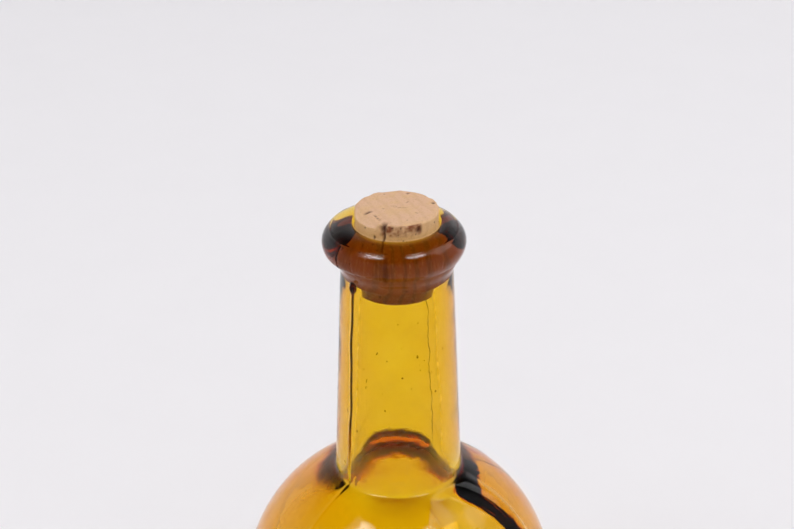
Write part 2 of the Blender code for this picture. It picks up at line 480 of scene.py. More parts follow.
class Bottle:
    """The bottle's lines, worked out once from its sizes."""

    def __init__(self, sizes):
        self.sizes = sizes
        self.centre = (0, sizes.body_centre_height)
        self.crest = BOTTLE_HIGH.z
        self.ring = self.crest - sizes.lip_rise
        self.cork_foot = CORK_LOW.z
        self.cork_length = CORK_HIGH.z - CORK_LOW.z
        self.cork_top_radius = (CORK_HIGH.x - CORK_LOW.x) / 2
        self.panel_height = sizes.body_centre_height + PANEL_RISE
        self.rim_radius = sizes.panel_radius + RIM_OFFSET
        self.neck_top = (sizes.neck_top_radius, self.ring - NECK_TOP_DROP)
        self.neck_foot = (sizes.neck_foot_radius, NECK_FOOT_HEIGHT)
        self.shoulder, self.neck_end = self.fillet(
            self.neck_top, self.neck_foot, SHOULDER_FILLET, sizes.body_radius
        )
        self.inner_radius = sizes.body_radius - sizes.body_wall

    def fillet(self, top, foot, radius, ball, rise=0):
        """Centre of the arc that joins a neck's side to the ball, and where it leaves the neck."""
        top, foot, centre = Vector(top), Vector(foot), Vector((0, self.centre[1] + rise))
        down = (foot - top).normalized()
        outward = Vector((-down.y, down.x))
        start = foot + outward * radius
        along = (centre - start).dot(down)
        aside = (centre - start - down * along).length
        shoulder = start + down * (along - math.sqrt((ball + radius) ** 2 - aside**2))
        return shoulder, shoulder - outward * radius

    def neck_and_body(self, top, foot, radius, ball, floor, heel, steps, rise=0):
        """The outline from the neck's top to the floor, in steps of neck, shoulder, ball and heel."""
        centre = (0, self.centre[1] + rise)
        shoulder, neck_end = self.fillet(top, foot, radius, ball, rise)
        side = math.sqrt((ball - heel) ** 2 - (centre[1] - floor - heel) ** 2)
        heel_centre = (side, floor + heel)
        shoulder_angle = angle_from(centre, shoulder)
        heel_angle = angle_from(centre, heel_centre)
        start = angle_from(shoulder, neck_end) % 360
        points = line(top, neck_end, steps[0])[:-1]
        points += arc(shoulder, (radius, radius), start, shoulder_angle + 180, steps[1])[:-1]
        points += arc(centre, (ball, ball), shoulder_angle, heel_angle, steps[2])
        points += arc(heel_centre, (heel, heel), heel_angle, -90, steps[3])[1:]
        return points

    def push_up(self, floor, steps):
        radius = (PUSH_UP_RADIUS**2 + PUSH_UP_RISE**2) / (2 * PUSH_UP_RISE)
        centre = (0, floor + PUSH_UP_RISE - radius)
        edge = angle_from(centre, (PUSH_UP_RADIUS, floor))
        points = arc(centre, (radius, radius), edge, 90, steps)
        points[-1] = (0, points[-1][1])
        return points

    def cork_radius(self, height):
        share = (height - self.cork_foot) / self.cork_length
        return self.cork_top_radius - CORK_TAPER + CORK_TAPER * share

    def mouth(self):
        """From the bore, over the domed top of the lip and round its roll, to the collar's foot."""
        mouth_radius = self.cork_radius(self.crest) + CORK_CLEARANCE
        edge = (mouth_radius + MOUTH_ROUNDING, self.crest - MOUTH_ROUNDING)
        points = arc(edge, (MOUTH_ROUNDING, MOUTH_ROUNDING), 180, 90, steps=5)
        upper = (self.sizes.lip_radius - LIP_ROLL_WIDTH, self.ring)
        dome = arc(upper, (LIP_ROLL_WIDTH, self.sizes.lip_rise), 90, 0, steps=44)
        # The lipping tool left one thin line round the dome
        for radius, height in dome:
            ridge = LIP_LINE_PROUD * float(bump((radius - LIP_LINE_RADIUS) / LIP_LINE_HALF_WIDTH))
            points.append((radius + ridge / 2, height + ridge))
        under = (self.sizes.lip_radius - LIP_UNDERCUT_WIDTH, self.ring)
        points += arc(under, (LIP_UNDERCUT_WIDTH, LIP_DROP), 0, -LIP_CREASE_DEGREES, steps=12)[1:]
        collar = (self.sizes.neck_top_radius + COLLAR_PROUD, self.ring - COLLAR_DROP)
        for share in np.linspace(0, 1, 8, endpoint=False):
            radius = collar[0] + (self.neck_top[0] - collar[0]) * float(smooth(share))
            points.append((radius, collar[1] + (self.neck_top[1] - collar[1]) * share))
        return points

    def outline(self):
        sizes = self.sizes
        seat = (self.cork_radius(self.cork_foot) + CORK_CLEARANCE, self.cork_foot)
        mouth = self.mouth()
        inside = self.neck_and_body(
            seat,
            (sizes.neck_foot_bore, NECK_FOOT_HEIGHT),
            SHOULDER_INNER_FILLET,
            self.inner_radius,
            FLOOR_WALL,
            HEEL_INNER_RADIUS,
            INSIDE_STEPS,
            INNER_RISE,
        )
        inside += self.push_up(FLOOR_WALL, steps=8)
        outside = self.neck_and_body(
            self.neck_top,
            self.neck_foot,
            SHOULDER_FILLET,
            sizes.body_radius,
            0,
            HEEL_RADIUS,
            OUTSIDE_STEPS,
        )
        outside += self.push_up(0, steps=9)
        bore = line(mouth[0], seat, steps=8)[1:-1]
        return inside[::-1] + bore[::-1] + mouth + outside

    def settle(self, points):
        """Puts points near the ball's and the neck's skin exactly on it, after flat faces are cut."""
        radius = from_axis(points)
        offset = self.from_centre(points)
        reach = np.linalg.norm(offset, axis=1)
        on_ball = np.abs(reach - self.sizes.body_radius) < SETTLE_WITHIN
        on_ball &= (points[:, 2] > HEEL_RADIUS) & (points[:, 2] < self.shoulder[1] - SHOULDER_FILLET)
        stretch = self.sizes.body_radius / reach[on_ball]
        points[on_ball] = np.array([0, 0, self.centre[1]]) + offset[on_ball] * stretch[:, None]
        neck = self.neck_radius(points[:, 2])
        on_neck = np.abs(radius - neck) < SETTLE_WITHIN
        on_neck &= (points[:, 2] > self.neck_end[1]) & (points[:, 2] < self.neck_top[1])
        points[on_neck, :2] *= (neck[on_neck] / radius[on_neck])[:, None]
        return points

    def from_centre(self, points):
        """The points as seen from the middle of the body's ball."""
        return points - np.array([0, 0, self.centre[1]])

    def neck_share(self, height):
        """How far down the neck a height is, from under the collar to the neck's foot."""
        return (self.neck_top[1] - height) / (self.neck_top[1] - self.neck_foot[1])

    def neck_radius(self, height):
        return self.neck_top[0] + (self.neck_foot[0] - self.neck_top[0]) * self.neck_share(height)

    def is_outside(self, points):
        """True for points on the bottle's outer skin, from under the collar down to the heel."""
        radius = from_axis(points)
        reach = np.linalg.norm(self.from_centre(points), axis=1)
        low = points[:, 2] < self.shoulder[1]
        middle = (self.sizes.neck_foot_bore + self.sizes.neck_top_radius) / 2
        ball = low & (reach > self.sizes.body_radius - self.sizes.body_wall / 2)
        neck = ~low & (radius > middle) & (points[:, 2] < self.neck_top[1])
        return (ball | neck) & (points[:, 2] > HEEL_RADIUS / 2)

    def medallion_place(self, points):
        """Each point's place across and up the medallion and from its middle, and if it is in front."""
        across, up = points[:, 0], points[:, 2] - self.panel_height
        return across, up, np.hypot(across, up), points[:, 1] < 0


# The palmette on the medallion: each leaf's angle from upright, and its length and half width in mm
LEAVES = ((0, 28.5, 2.9), (26, 26.5, 2.9), (52, 23, 2.8), (78, 18, 2.5))
LEAF_ROOT = np.array([0, -4 * MM])
LEAF_START = 6.5 * MM
LEAF_DROOP = 1.6 * MM
LEAF_BROADEST = 1.3
LEAF_POINTS = 17
VEIN_POINTS = 12
SCROLL_PLACE = (7.2 * MM, -11 * MM)
SCROLL_RADII = (1.2 * MM, 5.5 * MM)
SCROLL_TURN = 2.6 * math.pi
SCROLL_POINTS = 34
RING_RADII = (1.4 * MM, 3.4 * MM)
RING_POINTS = 28


def leaf_lines():
    """A palmette, a common ornament: a fan of veined leaves over two scrolls, as lines."""
    lines = []
    shares = np.linspace(0, 1, LEAF_POINTS)
    for angle, length, width in LEAVES:
        for turn in sorted({angle, -angle}):
            along = np.array([math.sin(math.radians(turn)), math.cos(math.radians(turn))])
            across = np.array([along[1], -along[0]])
            reach = LEAF_START + (length * MM - LEAF_START) * shares
            spread = width * MM * np.sin(math.pi * shares**LEAF_BROADEST)
            droop = np.sign(turn) * LEAF_DROOP * shares**2
            middle = LEAF_ROOT + reach[:, None] * along + droop[:, None] * across
            lines.append(middle + spread[:, None] * across)
            lines.append(middle - spread[:, None] * across)
            lines.append(middle[:VEIN_POINTS])
    turns = np.linspace(0, SCROLL_TURN, SCROLL_POINTS)
    coil = SCROLL_RADII[0] + (SCROLL_RADII[1] - SCROLL_RADII[0]) * turns / SCROLL_TURN
    for side in (-1, 1):
        x = side * (SCROLL_PLACE[0] - coil * np.cos(turns))
        y = SCROLL_PLACE[1] + coil * np.sin(turns)
        lines.append(np.stack([x, y], axis=1))
    turns = np.linspace(0, math.tau, RING_POINTS)
    for radius in RING_RADII:
        lines.append(LEAF_ROOT + radius * np.stack([np.cos(turns), np.sin(turns)], axis=1))
    return lines


def distance_to_lines(across, up, lines):
    """How far each place is from the nearest of the lines."""
    places = np.stack([across, up], axis=1)
    nearest = np.full(len(places), np.inf)
    for points in lines:
        for a, b in zip(points[:-1], points[1:], strict=True):
            step = b - a
            share = np.clip(((places - a) @ step) / (step @ step), 0, 1)
            away = np.hypot(*(places - a - share[:, None] * step).T)
            nearest = np.minimum(nearest, away)
    return nearest


def seam_distance(points, azimuth):
    """How far round the skin a point is from a mould seam, which wanders a little about its azimuth."""
    (long_reach, long_height), (short_reach, short_height) = SEAM_WANDER
    wander = long_reach * np.sin(points[:, 2] / long_height + azimuth)
    wander += short_reach * np.sin(points[:, 2] / short_height)
    return np.abs(from_axis(points) * turned_to(azimuths(points) - azimuth) + wander)


def lip_skin(bottle, points):
    """True for points on the outer half of the lip's roll."""
    outer = from_axis(points) > bottle.sizes.lip_radius - LIP_UNDERCUT_WIDTH
    return outer & (points[:, 2] > bottle.ring - LIP_DROP)


def feature_faces(bottle, middles, lines, margin, rim):
    """The faces that carry an embossed line, a seam or a mark, and the medallion's rim if asked for."""
    outside = bottle.is_outside(middles)
    across, up, reach, facing = bottle.medallion_place(middles)
    low = bottle.sizes.panel_radius - PANEL_WALL_WIDTH - margin
    high = bottle.rim_radius + RIM_HALF_WIDTH + margin
    near = outside & facing & (middles[:, 2] < bottle.shoulder[1])
    chosen = near & (reach > low) & (reach < high) & rim
    guard = bottle.sizes.neck_foot_radius + PANEL_GUARD + PANEL_GUARD_WIDTH + PANEL_GUARD_MARGIN
    chosen |= near & rim & (from_axis(middles) < guard) & (middles[:, 0] > 0)
    inside = near & (reach < low)
    chosen[inside] |= distance_to_lines(across[inside], up[inside], lines) < EMBOSS_HALF_WIDTH + margin
    for azimuth in SEAM_AZIMUTHS:
        chosen |= outside & (seam_distance(middles, azimuth) < SEAM_HALF_WIDTH + margin)
    lip = lip_skin(bottle, middles)
    for azimuth, *_ in LIP_MARKS:
        chosen |= lip & (seam_distance(middles, math.radians(azimuth)) < LIP_MARK_HALF_WIDTH + margin)
    return chosen


def raise_features(bottle, points, normals, lines):
    """Moves the outer skin to its medallion, embossing, seams and tooling marks."""
    sizes = bottle.sizes
    outside = bottle.is_outside(points)
    from_neck = from_axis(points) - sizes.neck_foot_radius
    height = np.zeros(len(points))
    across, up, reach, facing = bottle.medallion_place(points)
    # The panel ends in a ridge round the neck's foot on one side of its top, and fades out on the other
    neck_guard = smooth((from_neck - PANEL_GUARD) / PANEL_GUARD_WIDTH)
    deep = share_between(across, PANEL_RUN_OUT)
    neck_guard *= 1 - (1 - deep) * share_between(up, PANEL_RUN_OUT_LEVELS)
    here = outside & facing & (points[:, 2] < bottle.shoulder[1])
    # The panel's floor is a ball set back and down a little, so it is sunk deepest near the neck
    steep = bottle.from_centre(points) @ np.array([0, PANEL_SET_BACK, -PANEL_SET_DOWN])
    depth = sizes.panel_depth - PANEL_SET_BACK - steep / sizes.body_radius
    sunk = smooth((sizes.panel_radius - reach) / PANEL_WALL_WIDTH) * neck_guard
    height[here] -= (depth * sunk)[here]
    rim = RIM_PROUD * bump((reach - bottle.rim_radius) / RIM_HALF_WIDTH) * neck_guard
    height[here] += rim[here]
    within = here & (reach < sizes.panel_radius - PANEL_WALL_WIDTH)
    away = distance_to_lines(across[within], up[within], lines)
    clear_of_neck = smooth((from_neck[within] - EMBOSS_CLEAR_OF_NECK) / EMBOSS_FADE)
    height[within] += EMBOSS_PROUD * bump(away / EMBOSS_HALF_WIDTH) * clear_of_neck
    for azimuth in SEAM_AZIMUTHS:
        away = seam_distance(points, azimuth)
        ends = smooth((bottle.neck_top[1] - points[:, 2]) / SEAM_TOP_FADE)
        ends *= smooth((points[:, 2] - HEEL_RADIUS) / SEAM_HEEL_FADE)
        on_neck = smooth((points[:, 2] - bottle.shoulder[1] + SEAM_BODY_START) / SEAM_BODY_FADE)
        ends *= SEAM_BODY_SHARE + (1 - SEAM_BODY_SHARE) * on_neck
        height[outside] += (SEAM_PROUD * bump(away / SEAM_HALF_WIDTH) * ends)[outside]
    # A drop of glass hangs at the top end of one seam
    drop = np.hypot(
        seam_distance(points, SEAM_AZIMUTHS[0]) / SEAM_DROP_HALF_WIDTH,
        (points[:, 2] - bottle.ring + SEAM_DROP_BELOW_RING) / SEAM_DROP_HALF_LENGTH,
    )
    height[outside] += (SEAM_DROP_PROUD * bump(drop))[outside]
    # The tool that rounded the lip left short creases down its side
    lip = lip_skin(bottle, points)
    for azimuth, low, high, depth in LIP_MARKS:
        away = seam_distance(points, math.radians(azimuth)) / LIP_MARK_HALF_WIDTH
        level = points[:, 2] - bottle.ring
        ends = smooth((level - low * MM) / LIP_MARK_FADE) * smooth((high * MM - level) / LIP_MARK_FADE)
        height[lip] -= (depth * MM * bump(away) * ends)[lip]
    return points + normals * height[:, None]


def fuller_shoulder(bottle, points):
    """How much higher the skin lies where the shoulder runs up behind the neck."""
    behind = share_between(np.cos(azimuths(points) - FULL_SIDE), FULL_TURN)
    near = smooth((FULL_RADIUS - from_axis(points)) / FULL_RADIUS_FADE)
    below = smooth((bottle.shoulder[1] + FULL_DROP - points[:, 2]) / FULL_DROP_FADE)
    return FULL_RISE * behind * near * below


def haze(bottle, points, outside):
    """How rough each point is where its ripples are too fine to model."""
    radius, height = from_axis(points), points[:, 2]
    lip = smooth((height - bottle.ring + LIP_DROP + LIP_HAZE_FADE) / LIP_HAZE_FADE)
    lip *= radius > bottle.cork_top_radius
    behind = share_between(points[:, 1] / np.maximum(radius, MM), HAZE_BACK)
    level = smooth((HAZE_TOP - height) / HAZE_FADE) * smooth((height - HAZE_LOW) / HAZE_FADE)
    *_, reach, facing = bottle.medallion_place(points)
    panel = smooth((bottle.rim_radius + HAZE_PANEL_FADE - reach) / HAZE_PANEL_FADE) * facing
    inside = level * (1 - panel) * ~outside
    foot_level = height - bottle.neck_end[1] + SHOULDER_FILLET / 2
    foot = bump(foot_level / FOOT_HAZE_HALF_HEIGHT) * outside
    return LIP_HAZE * lip + FOOT_HAZE * foot + inside * (SIDE_HAZE + (BACK_HAZE - SIDE_HAZE) * behind)


def unevenness(bottle, points, outside):
    """How far each point of the glass swells and ripples out of true."""
    reach = np.linalg.norm(bottle.from_centre(points), axis=1)
    inner = (reach < bottle.inner_radius + INNER_MARGIN) & ~outside
    inner &= points[:, 2] >= PUSH_UP_RISE + FLOOR_WALL / 2
    bore = ~inner & ~outside & (points[:, 2] < bottle.cork_foot)
    skins = [outside, inner, bore]
    squeezed = points * UPWARD_SQUEEZE
    foot = bump((points[:, 2] - bottle.neck_end[1]) / FOOT_RIPPLE_HALF_HEIGHT) * outside
    return (
        np.select(skins, SWELLS, 0.0) * waves(squeezed, SWELL_SPACING, 1)
        + np.select(skins, RIPPLES, 0.0) * waves(squeezed, RIPPLE_SPACING, 2)
        + FOOT_RIPPLE * foot * waves(points, FOOT_RIPPLE_SPACING, 9)
    )


def leaning_lip(bottle, points):
    """How far each point moves aside because the lip was tooled by hand and leans a little."""
    lean = smooth((from_axis(points) - bottle.cork_top_radius - LIP_LEAN_START) / LIP_LEAN_WIDTH)
    lean *= smooth((points[:, 2] - bottle.ring + COLLAR_DROP) / LIP_LEAN_HEIGHT)
    aside = Matrix.Rotation(LIP_LEAN_AZIMUTH, 3, "Z") @ Vector((-LIP_LEAN, 0, 0))
    return lean[:, None] * np.array(aside)


def make_glass_mesh(sizes):
    bottle = Bottle(sizes)
    piece = lathe("moulded_bottle", bottle.outline(), BOTTLE_TURNS)
    mesh = piece.data
    lines = leaf_lines()
    for margin, rim in FINER_ROUNDS:
        middles = read_vectors(mesh.polygons, "center")
        subdivide_faces(piece, feature_faces(bottle, middles, lines, margin, rim))
        set_coordinates(mesh, bottle.settle(read_vectors(mesh.vertices, "co")))
    points = read_vectors(mesh.vertices, "co")
    normals = read_vectors(mesh.vertex_normals, "vector")
    outside = bottle.is_outside(points)
    moved = raise_features(bottle, points, normals, lines)
    moved += normals * unevenness(bottle, points, outside)[:, None]
    moved += leaning_lip(bottle, points)
    moved[:, 2] += fuller_shoulder(bottle, points) * outside
    set_coordinates(mesh, moved)
    write_attribute(mesh, "haze", haze(bottle, points, outside))
    mesh.shade_smooth()
    return piece


# Settings that several nodes share
EASED = {"interpolation_type": "SMOOTHSTEP"}
COLOURS = {"data_type": "RGBA"}
PRODUCT = {"operation": "MULTIPLY"}

# The tool lines drift by this share of the way across the lip, so they aren't true rings
TOOL_LINE_DRIFT = 0.03


def distance_from_axis(tree, place):
    """Distance from the bottle's axis, and height, as a vector that hardly changes round the bottle."""
    parts = add_node(tree, "ShaderNodeSeparateXYZ", inputs={0: place.outputs["Object"]})
    flat = add_node(tree, "ShaderNodeCombineXYZ", inputs={0: parts.outputs[0], 1: parts.outputs[1]})
    radius = add_node(tree, "ShaderNodeVectorMath", {"operation": "LENGTH"}, {0: flat.outputs[0]})
    turn = add_node(tree, "ShaderNodeMath", PRODUCT, {0: parts.outputs[0], 1: TOOL_LINE_DRIFT})
    return add_node(
        tree,
        "ShaderNodeCombineXYZ",
        inputs={0: radius.outputs["Value"], 1: turn.outputs[0], 2: parts.outputs[2]},
    )


def glass_surface(tree):
    """Colour, roughness and bump of hand-finished glass: swells, tool lines and smears, all faint."""
    place = add_node(tree, "ShaderNodeTexCoord")
    spot = place.outputs["Object"]
    # Streaks of slightly paler and browner melt, about 9 mm apart
    melt = add_node(
        tree, "ShaderNodeTexNoise", inputs={"Vector": spot, "Scale": 1 / (9 * MM), "Detail": 2.0}
    )
    colour = add_node(
        tree, "ShaderNodeMix", COLOURS, {0: melt.outputs["Fac"], 6: srgb("#FFFFFF"), 7: srgb("#F6EFE4")}
    )
    # A film of handling marks some 3 mm apart, which only shows as a softer glint
    film = add_node(
        tree, "ShaderNodeTexNoise", inputs={"Vector": spot, "Scale": 1 / (3 * MM), "Detail": 4.0}
    )
    smears = add_node(
        tree,
        "ShaderNodeMapRange",
        EASED,
        {"Value": film.outputs["Fac"], 1: 0.45, 2: 0.8, 3: 0.0, 4: 0.035},
    )
    haze = add_node(tree, "ShaderNodeAttribute", {"attribute_name": "haze"})
    roughness = add_node(
        tree, "ShaderNodeMath", {"operation": "ADD"}, {0: smears.outputs[0], 1: haze.outputs["Fac"]}
    )
    # Tool lines run round the lip, 0.45 mm apart, and the mould's chill leaves swells 4 mm apart
    around = distance_from_axis(tree, place).outputs[0]
    rings = add_node(
        tree, "ShaderNodeTexNoise", inputs={"Vector": around, "Scale": 1 / (0.45 * MM), "Detail": 2.0}
    )
    swells = add_node(
        tree, "ShaderNodeTexNoise", inputs={"Vector": spot, "Scale": 1 / (4 * MM), "Detail": 1.0}
    )
    lines = add_node(
        tree,
        "ShaderNodeBump",
        inputs={"Strength": 0.5, "Distance": 0.012 * MM, "Height": rings.outputs["Fac"]},
    )
    chill = add_node(
        tree,
        "ShaderNodeBump",
        inputs={
            "Strength": 1.0,
            "Distance": 0.06 * MM,
            "Height": swells.outputs["Fac"],
            "Normal": lines.outputs[0],
        },
    )
    return colour.outputs[2], roughness.outputs[0], chill.outputs[0]


# How much of its surround the photographed glass mirrors, against new polished glass
MIRROR_SHARE = 0.32
# The tone that the glass gives to shadows, and to light that the paper sends through it
CLEAR_GREY = (0.8, 0.8, 0.8, 1)


def glass_material(finish):
    """Soda-lime glass tinted amber all through, so that thick places are brown and thin ones golden."""
    material, tree, output = new_material("amber_soda_lime_glass")
    shares = (finish.clear_red, finish.clear_green, finish.clear_blue)
    # Absorption for each metre, from the share that one centimetre lets through
    depths = [-math.log(max(share, 1e-4)) / (10 * MM) for share in shares]
    # A tenth denser than the deepest of the three, so that none of the tint's colours is zero
    density = max(depths) * 1.1
    tint_colour = [1 - depth / density for depth in depths]
    colour, roughness, normal = glass_surface(tree)
    glass = add_node(
        tree,
        "ShaderNodeBsdfPrincipled",
        inputs={
            "Base Color": colour,
            "Roughness": roughness,
            "Normal": normal,
            "IOR": finish.ior,
            "Specular Tint": (MIRROR_SHARE, MIRROR_SHARE, MIRROR_SHARE, 1),
            "Transmission Weight": 1.0,
        },
    )
    rays = add_node(tree, "ShaderNodeLightPath")
    lets_light = add_node(
        tree,
        "ShaderNodeMath",
        {"operation": "MAXIMUM"},
        {0: rays.outputs["Is Shadow Ray"], 1: rays.outputs["Is Diffuse Ray"]},
    )
    clear = add_node(tree, "ShaderNodeBsdfTransparent", inputs={"Color": CLEAR_GREY})
    mixed = add_node(
        tree,
        "ShaderNodeMixShader",
        inputs={0: lets_light.outputs[0], 1: glass.outputs[0], 2: clear.outputs[0]},
    )
    tint = add_node(
        tree, "ShaderNodeVolumeAbsorption", inputs={"Color": (*tint_colour, 1), "Density": density}
    )
    tree.links.new(mixed.outputs[0], output.inputs["Surface"])
    tree.links.new(tint.outputs[0], output.inputs["Volume"])
    return material


def seed_material(finish):
    """The inside of a gas bubble in the glass, which bends light the other way and shows as a speck."""
    material, tree, output = new_material("gas_seed")
    place = add_node(tree, "ShaderNodeTexCoord")
    grain = add_node(
        tree,
        "ShaderNodeTexNoise",
        inputs={"Vector": place.outputs["Object"], "Scale": 1 / (0.2 * MM), "Detail": 1.0},
    )
    colour = add_node(
        tree, "ShaderNodeMix", COLOURS, {0: grain.outputs["Fac"], 6: srgb("#FFFFFF"), 7: srgb("#F2EBDD")}
    )
    roughness = add_node(
        tree,
        "ShaderNodeMapRange",
        EASED,
        {"Value": grain.outputs["Fac"], 1: 0.3, 2: 0.7, 3: 0.0, 4: 0.02},
    )
    dents = add_node(
        tree,
        "ShaderNodeBump",
        inputs={"Strength": 0.2, "Distance": 0.002 * MM, "Height": grain.outputs["Fac"]},
    )
    shell = add_node(
        tree,
        "ShaderNodeBsdfPrincipled",
        inputs={
            "Base Color": colour.outputs[2],
            "Roughness": roughness.outputs[0],
            "Normal": dents.outputs[0],
            "IOR": 1 / finish.ior,
            "Transmission Weight": 1.0,
        },
    )
    tree.links.new(shell.outputs[0], output.inputs["Surface"])
    return material


# Seeds that the photograph shows: azimuth from the front in degrees, and height in mm
SEEN_SEEDS = ((-35.0, 94.0), (-25.0, 77.5), (-8.0, 100.0))
# The other seeds are scattered over the neck and its foot. Heights and radii are in mm
SCATTERED_SEEDS = 46
SEED_HEIGHTS = (74, 126)
SEED_RADII = (0.1, 0.13, 0.17, 0.24)
# How deep in the wall a seed lies, from bore to skin, and how much longer than wide it was drawn
SEED_DEPTHS = (0.35, 0.75)
SEED_STRETCH = (1.0, 1.9)


def make_seeds(sizes):
    """Small gas bubbles in the thickness of the neck's and shoulder's wall, as one piece."""
    bottle = Bottle(sizes)
    seat = bottle.cork_radius(bottle.cork_foot) + CORK_CLEARANCE
    chance = random.Random(11)
    places = [(math.radians(turn), height * MM) for turn, height in SEEN_SEEDS]
    for _ in range(SCATTERED_SEEDS):
        places.append((chance.uniform(-math.pi, math.pi), chance.uniform(*SEED_HEIGHTS) * MM))
    select_none()
    seeds = []
    for turn, height in places:
        bore = seat + (sizes.neck_foot_bore - seat) * bottle.neck_share(height)
        radius = bore + (bottle.neck_radius(height) - bore) * chance.uniform(*SEED_DEPTHS)
        bpy.ops.mesh.primitive_ico_sphere_add(
            subdivisions=2,
            radius=chance.choice(SEED_RADII) * MM,
            location=(radius * math.sin(turn), -radius * math.cos(turn), height),
        )
        seed = bpy.context.object
        seed.scale = (1, 1, chance.uniform(*SEED_STRETCH))
        seeds.append(seed)
    select_none()
    for seed in seeds:
        seed.select_set(True)
    bpy.context.view_layer.objects.active = seeds[0]
    bpy.ops.object.join()
    piece = bpy.context.object
    piece.name = piece.data.name = "gas_seeds"
    bpy.ops.object.transform_apply(location=True, rotation=True, scale=True)
    piece.data.shade_smooth()
    return piece


# The cork's own sizes and marks
CORK_TURNS = 240
CORK_CHAMFER = 0.5 * MM
# The side has finer faces down to this far below the top, where it is pitted
CORK_FINE_LENGTH = 7 * MM
# The neck grips the cork along this length under the lip's crest, and there it is swollen to the glass.
# Nothing nearer the axis than the last of these is moved
CORK_SWELL = 0.4 * MM
CORK_GRIP_LENGTH = 15.5 * MM
CORK_GRIP_TOP_FADE = 0.9 * MM
CORK_GRIP_FOOT_FADE = 1.5 * MM
CORK_GRIP_RADIUS = 9 * MM
# A slice is pared off the top edge between these azimuths in degrees, and fades out at each
CORK_BEVEL = (-120, -47)
CORK_BEVEL_FADES = (30, 7)
CORK_BEVEL_TOP = 6.9 * MM
CORK_BEVEL_DROP = 1.6 * MM
CORK_BEVEL_RAGGED = 0.18 * MM
CORK_BEVEL_SPACING = 1.6 * MM
# One crack runs down the side at this azimuth in degrees, and is widest in its notch at the top
CORK_CRACK = -40
CORK_CRACK_LENGTH = 11 * MM
CORK_CRACK_FADE = 3 * MM
CORK_CRACK_DEPTH = 0.9 * MM
CORK_CRACK_REACH = 2.2 * MM
CORK_CRACK_REACH_FADE = 1.2 * MM
CORK_CRACK_HALF_WIDTH = 0.42 * MM
CORK_NOTCH_HALF_WIDTH = 0.6 * MM
CORK_NOTCH_LENGTH = 2.2 * MM
CORK_NOTCH_FADE = 0.6 * MM
# The crack wanders to either side in long and short waves: how far, and each wave's height over tau
CORK_CRACK_WANDER = ((0.14 * MM, 1.7 * MM), (0.08 * MM, 0.6 * MM))
# The top edge has crumbled away this deep and this near the corner
CRUMBLE_DEPTH = 0.42 * MM
CRUMBLE_REACH = 1.3 * MM
CRUMBLE_SPACING = 2.4 * MM
# How crumbled the edge is in the mean, and how far it varies
CRUMBLE_SHARES = (0.35, 0.9)
# The skin's large and small lumps: how far they stand out, how far apart they are, and their seed
CORK_LUMPS = ((0.09 * MM, 3.5 * MM, 6), (0.04 * MM, 0.8 * MM, 7))
# The skin's wear comes in over this height above the cork's foot
CORK_FOOT_FADE = 1 * MM
TOP_DEPTH = 0.2 * MM
TOP_PIT_DEPTH = 0.32 * MM
TOP_PIT_DARKNESS = 0.9
SIDE_PIT_DEPTH = 0.35 * MM
SIDE_PIT_DARKNESS = 0.95
# Pits in the top: place (x, y), half length and half width in mm, and angle in degrees
TOP_PITS = (
    (-7.45, 0.4, 1.7, 0.8, -14),
    (-0.4, 0.9, 1.3, 0.14, -20),
    (0.6, -0.4, 1.6, 0.14, -26),
    (1.9, -1.0, 1.0, 0.14, -12),
    (3.6, 1.9, 0.6, 0.25, 20),
    (3.3, -4.9, 0.6, 0.22, -40),
    (5.7, 6.6, 0.8, 0.55, 10),
    (9.4, -1.0, 0.9, 0.75, 60),
    (-6.5, -3.2, 2.6, 0.2, 97),
)
# Pits in the side: azimuth from the front in degrees, and height, half width and half length in mm
SIDE_PITS = (
    (9.0, 141.9, 1.1, 1.3),
    (-36, 131.5, 1.2, 3.4),
    (-28, 143.0, 0.5, 0.35),
    (-70, 141.6, 0.4, 0.3),
    (-20, 141.2, 0.3, 0.25),
    (40, 142.0, 0.4, 0.35),
)
# The other pits are scattered: their number, places and half widths in mm, and how much longer they are
SCATTERED_TOP_PITS = 3
SCATTERED_TOP_RADIUS = 9.6
SCATTERED_TOP_WIDTHS = (0.22, 0.28, 0.34, 0.45)
SCATTERED_TOP_LENGTHENING = 1.6
SCATTERED_SIDE_PITS = 50
SCATTERED_SIDE_HEIGHTS = (123, 143)
SCATTERED_SIDE_WIDTHS = (0.2, 0.25, 0.32, 0.45)
SCATTERED_SIDE_LENGTHENING = (0.8, 2.2)
# Damp has darkened one patch of the side, between these azimuths in degrees and heights in mm
SIDE_STAIN = (-48, 16, 140.2, 144.0)
STAIN_TURN_FADES = (6, 5)
STAIN_HEIGHT_FADES = (0.8, 0.6)
# Its ragged patches: how strong they are, how far apart, and their seed
STAIN_PATCHES = ((0.8, 1.5 * MM, 4), (0.5, 0.6 * MM, 9))


def cork_outline(bottle):
    """From the middle of the top, over its edge and down the side, to the middle of the foot."""
    low, high = CORK_LOW.z, CORK_HIGH.z
    edge, fine, foot = high - CORK_CHAMFER, high - CORK_FINE_LENGTH, low + CORK_CHAMFER
    outline = [(0, high)]
    for corner, steps in (
        ((bottle.cork_top_radius - CORK_CHAMFER, high), 30),
        ((bottle.cork_radius(edge), edge), 3),
        ((bottle.cork_radius(fine), fine), 24),
        ((bottle.cork_radius(foot), foot), 34),
        ((bottle.cork_radius(low) - CORK_CHAMFER, low), 3),
        ((0, low), 14),
    ):
        outline += line(outline[-1], corner, steps)[1:]
    return outline


def mark(store, shares, where, depth, strength):
    """Notes a hollow: how deep each point sinks and how dark it turns."""
    store["depth"][where] = np.maximum(store["depth"][where], depth * shares)
    store["pit"][where] = np.maximum(store["pit"][where], strength * shares)


